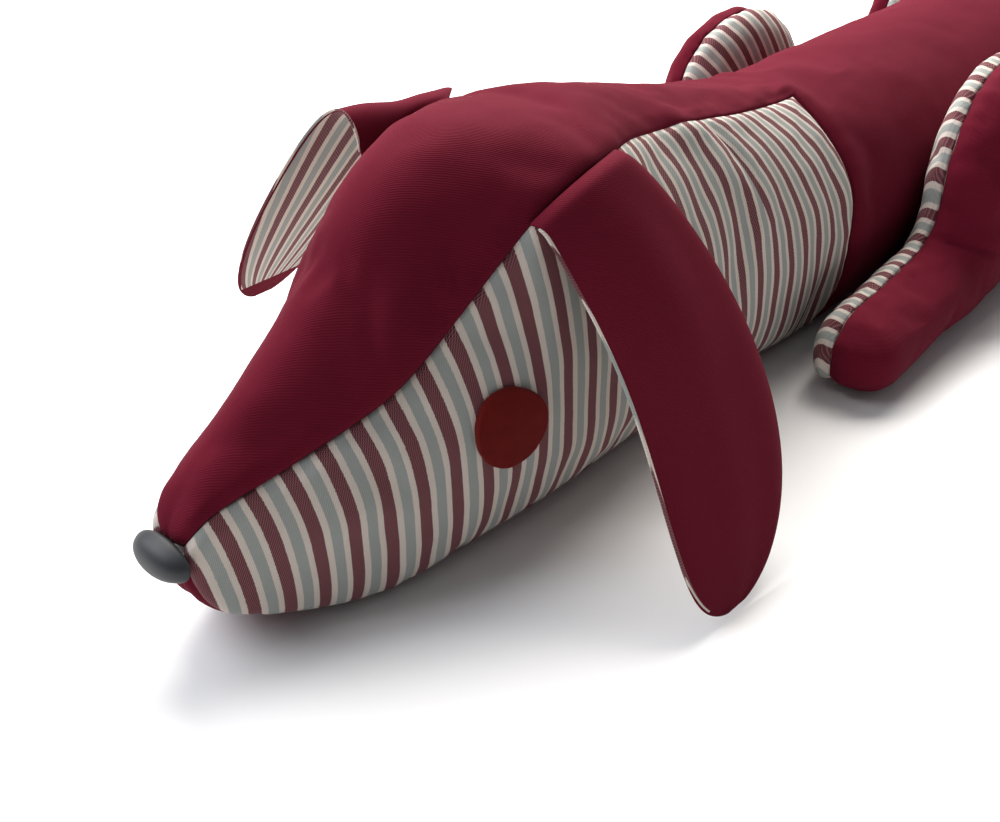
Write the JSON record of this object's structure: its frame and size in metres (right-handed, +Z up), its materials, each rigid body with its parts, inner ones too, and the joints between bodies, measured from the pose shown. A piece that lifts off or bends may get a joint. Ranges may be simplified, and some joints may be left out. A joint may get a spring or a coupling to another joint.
{
  "type": "door draught excluder",
  "caption": "Stuffed cloth dachshund that lies along a door's foot, with striped face, neck and leg panels and a plain back",
  "frame": {"origin": "centre of the bounding box at floor level, where the dog rests", "axes": "+X runs from the nose to the tail, +Y is the dog's right side, +Z is up"},
  "size_m": [0.9, 0.2898, 0.1686],
  "materials": {
    "plain_cloth": "plain woven cotton with fine ribs",
    "striped_cloth": "woven ticking stripe",
    "felt": "thick wool felt",
    "nose": "satin moulded dome",
    "wadding": "loose polyester fibre"
  },
  "bodies": {
    "root": {"burgundy_back_panel": "plain_cloth", "striped_side_panel_left": "striped_cloth", "striped_side_panel_right": "striped_cloth", "belly_panel": "plain_cloth", "body_filling": "wadding", "nose": "nose", "eye_left": "felt", "eye_right": "felt", "ear_outer_left": "plain_cloth", "ear_lining_left": "striped_cloth", "ear_outer_right": "plain_cloth", "ear_lining_right": "striped_cloth", "front_leg_outer_left": "plain_cloth", "front_leg_inner_left": "striped_cloth", "front_leg_filling_left": "wadding", "front_leg_outer_right": "plain_cloth", "front_leg_inner_right": "striped_cloth", "front_leg_filling_right": "wadding", "hind_leg_outer_left": "plain_cloth", "hind_leg_inner_left": "striped_cloth", "hind_leg_filling_left": "wadding", "hind_leg_outer_right": "plain_cloth", "hind_leg_inner_right": "striped_cloth", "hind_leg_filling_right": "wadding", "tail_panel": "plain_cloth", "tail_filling": "wadding"}
  },
  "joints": []
}
